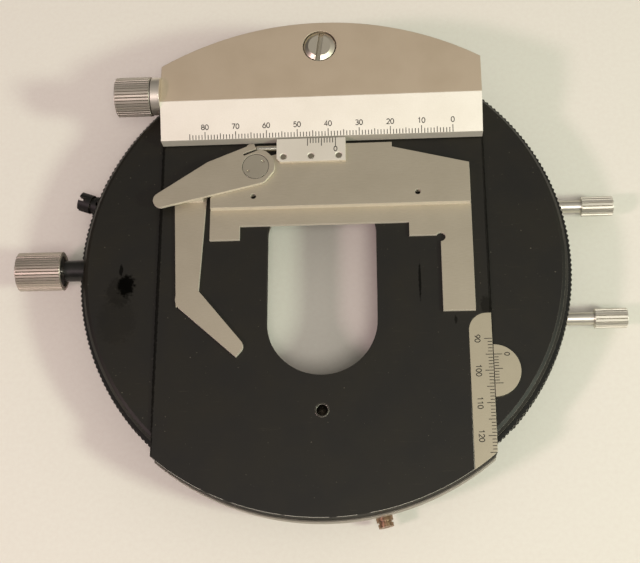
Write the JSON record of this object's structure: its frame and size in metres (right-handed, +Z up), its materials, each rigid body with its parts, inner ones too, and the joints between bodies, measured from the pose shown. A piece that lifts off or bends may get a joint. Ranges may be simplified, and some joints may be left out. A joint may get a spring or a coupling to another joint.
{
  "type": "rotating microscope stage",
  "caption": "Round rotating microscope stage with a built-in cross movement: a slide plate in a dovetail-like way, a sprung slide holder on a lead screw, verniers and centring screws.",
  "frame": {"origin": "on the rotation axis, in the underside of the base ring", "axes": "+Z up along the rotation axis, +X to the right along the upper scale, +Y away from the user towards the housing"},
  "size_m": [0.1953, 0.1615, 0.0374],
  "materials": {
    "black_stage": "black anodised, satin, lightly scuffed",
    "black_plug": "black oxide, semi-gloss",
    "black_plastic": "moulded, matt black",
    "satin_chrome": "satin chrome with engraved divisions",
    "satin_nickel": "satin nickel plate, bright at the edges",
    "bright_aluminium": "turned, straight knurled",
    "ground_steel": "turned or ground bright",
    "spring_steel": "drawn wire",
    "brass": "turned, unlacquered"
  },
  "bodies": {
    "base": {"base_ring": "black_stage", "spring_plug": "black_plug", "counter_spring": "spring_steel", "brake_pin": "brass"},
    "centring_slide": {"centring_slide": "ground_steel"},
    "bearing_ring": {"centring_ring": "ground_steel"},
    "ball_set": {"ball_cage": "brass", "bearing_balls": "ground_steel"},
    "rear_tip": {"rear_centring_tip": "ground_steel"},
    "rear_screw": {"rear_centring_screw": "ground_steel"},
    "front_tip": {"front_centring_tip": "ground_steel"},
    "front_screw": {"front_centring_screw": "ground_steel"},
    "brake": {"brake_screw": "brass"},
    "turntable": {"turntable": "black_stage", "grip_ring": "black_stage", "retaining_ring": "ground_steel", "retaining_screws": "ground_steel", "y_vernier": "satin_chrome", "y_bush": "black_plastic"},
    "y_drive": {"y_shaft": "ground_steel", "y_pinion": "brass", "y_knob": "bright_aluminium", "y_knob_core": "black_plastic"},
    "y_slide": {"y_carriage": "bright_aluminium", "slide_plate": "black_stage", "accessory_bush": "black_plug", "plate_screws": "ground_steel", "y_rack": "brass", "y_scale": "satin_chrome", "x_housing": "satin_chrome", "x_scale_bar": "satin_chrome", "x_collar": "bright_aluminium", "x_guide_rod": "ground_steel", "housing_clamp_screw": "ground_steel"},
    "x_drive": {"x_lead_screw": "ground_steel", "x_knob": "bright_aluminium"},
    "holder": {"x_nut_carriage": "brass", "holder_lower_plate": "satin_nickel", "holder_upper_plate": "satin_nickel", "holder_screws": "ground_steel", "x_vernier": "satin_chrome", "vernier_rivets": "satin_nickel", "pivot_screw": "satin_nickel", "clip_spring": "spring_steel"},
    "clip": {"clip_lever": "satin_nickel", "clip_finger": "satin_nickel"},
    "plunger": {"clip_plunger": "satin_nickel"}
  },
  "joints": [
    {"name": "centring_rear", "type": "slide", "parent": "base", "child": "centring_slide", "axis": [0.7071, 0.7071, 0], "range_m": [-0.0008, 0.0008], "deforming": ["counter_spring"]},
    {"name": "centring_front", "type": "slide", "parent": "centring_slide", "child": "bearing_ring", "axis": [0.7071, -0.7071, 0], "range_m": [-0.0008, 0.0008], "deforming": ["counter_spring"]},
    {"name": "rear_tip_slide", "type": "slide", "parent": "base", "child": "rear_tip", "axis": [1, 0, 0], "range_m": [-0.00114, 0.00114]},
    {"name": "rear_screw_turn", "type": "hinge", "parent": "rear_tip", "child": "rear_screw", "pos_m": [0.08, 0.0228, 0.0078], "axis": [1, 0, 0], "range_deg": [-815, 815]},
    {"name": "front_tip_slide", "type": "slide", "parent": "base", "child": "front_tip", "axis": [1, 0, 0], "range_m": [-0.00114, 0.00114]},
    {"name": "front_screw_turn", "type": "hinge", "parent": "front_tip", "child": "front_screw", "pos_m": [0.08, -0.0158, 0.0078], "axis": [1, 0, 0], "range_deg": [-815, 815]},
    {"name": "brake_turn", "type": "hinge", "parent": "base", "child": "brake", "pos_m": [0.01674, -0.07311, 0.0078], "axis": [0.2233, -0.9748, 0], "range_deg": [-30, 90]},
    {"name": "stage_turn", "type": "hinge", "parent": "bearing_ring", "child": "turntable", "pos_m": [0, 0, 0.0108], "axis": [0, 0, 1], "continuous": true},
    {"name": "cage_turn", "type": "hinge", "parent": "bearing_ring", "child": "ball_set", "pos_m": [0, 0, 0.01035], "axis": [0, 0, 1], "continuous": true},
    {"name": "y_travel", "type": "slide", "parent": "turntable", "child": "y_slide", "axis": [0, 1, 0], "range_m": [-0.005, 0.025]},
    {"name": "y_knob_turn", "type": "hinge", "parent": "turntable", "child": "y_drive", "pos_m": [-0.09, 0.001, 0.0181], "axis": [1, 0, 0], "range_deg": [-143.3, 716.3]},
    {"name": "x_travel", "type": "slide", "parent": "y_slide", "child": "holder", "axis": [1, 0, 0], "range_m": [-0.0375, 0.0375]},
    {"name": "x_knob_turn", "type": "hinge", "parent": "y_slide", "child": "x_drive", "pos_m": [-0.06, 0.0565, 0.031], "axis": [1, 0, 0], "range_deg": [-1080.1, 1080.1]},
    {"name": "clip_swing", "type": "hinge", "parent": "holder", "child": "clip", "pos_m": [-0.0209, 0.0309, 0.0286], "axis": [0, 0, -1], "range_deg": [0, 14], "stiffness_Nm_per_rad": 0.25, "springref_deg": -11.46},
    {"name": "plunger_slide", "type": "slide", "parent": "holder", "child": "plunger", "axis": [1, 0, 0], "range_m": [0, 0.0018], "deforming": ["clip_spring"]}
  ],
  "couplings": [
    {"joint": "rear_tip_slide", "follows": "centring_rear", "ratio": 1.4142},
    {"joint": "rear_screw_turn", "follows": "centring_rear", "rad_per_m": 17772},
    {"joint": "front_tip_slide", "follows": "centring_front", "ratio": 1.4142},
    {"joint": "front_screw_turn", "follows": "centring_front", "rad_per_m": 17772},
    {"joint": "cage_turn", "follows": "stage_turn", "ratio": 0.5},
    {"joint": "y_knob_turn", "follows": "y_travel", "rad_per_m": 500},
    {"joint": "x_knob_turn", "follows": "x_travel", "rad_per_m": 502.65},
    {"joint": "plunger_slide", "follows": "clip_swing", "m_per_rad": 0.0071}
  ]
}
